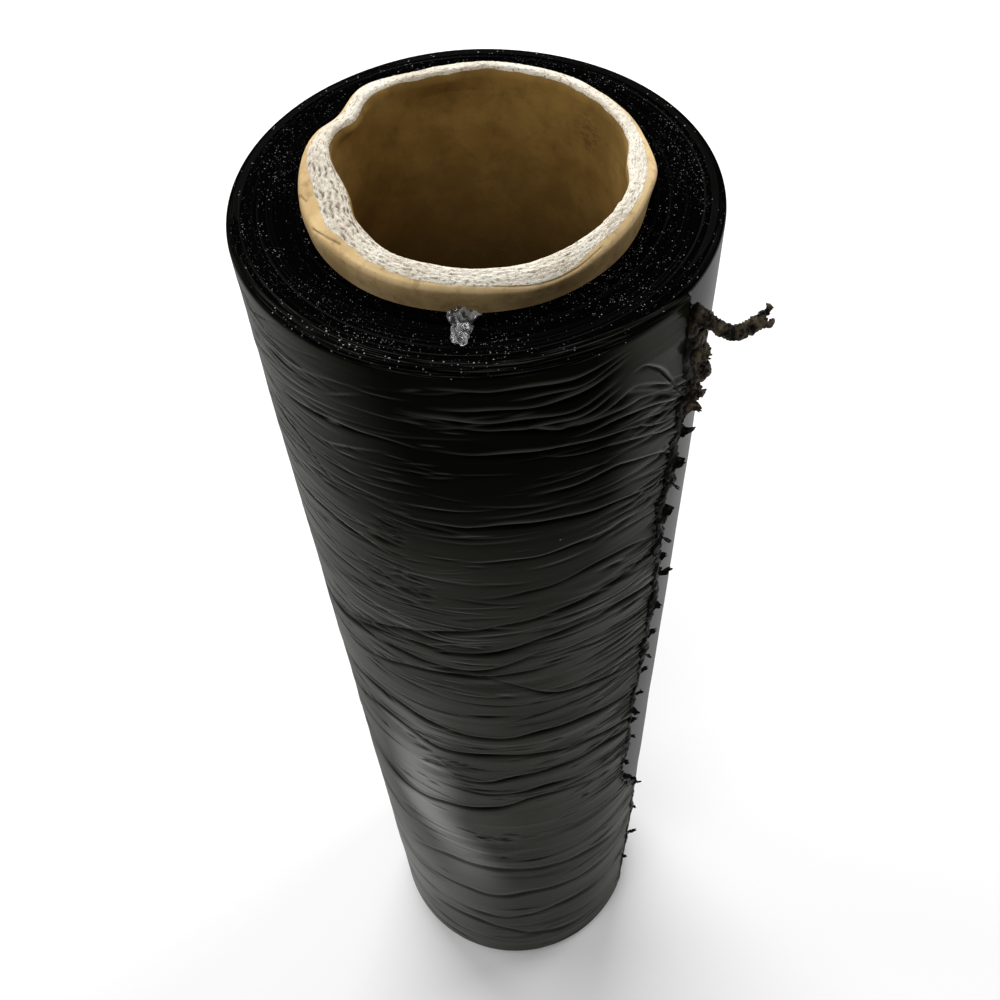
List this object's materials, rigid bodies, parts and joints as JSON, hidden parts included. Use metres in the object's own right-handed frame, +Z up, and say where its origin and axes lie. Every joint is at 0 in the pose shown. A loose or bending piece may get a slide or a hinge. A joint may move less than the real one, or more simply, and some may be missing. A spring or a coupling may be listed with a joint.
{
  "type": "stretch wrap roll",
  "caption": "Roll of black stretch film wound on a paperboard core, standing on end, with gathered folds, a torn outer edge and a battered core rim.",
  "frame": {"origin": "on the roll's axis, in the plane of the core's bottom edge that the roll stands on", "axes": "+Z up along the roll's axis, -Y towards the side that the picture shows, with the torn film edge towards +X and -Y"},
  "size_m": [0.1288, 0.1255, 0.476],
  "materials": {
    "kraft_board": "matt brown board, torn grey plies at the top rim",
    "black_film": "glossy tacky stretch film",
    "clear_film": "crumpled clear film"
  },
  "bodies": {
    "root": {"core_tube": "kraft_board", "film_roll": "black_film", "torn_film_tail": "black_film", "clear_film_scrap": "clear_film"}
  },
  "joints": []
}
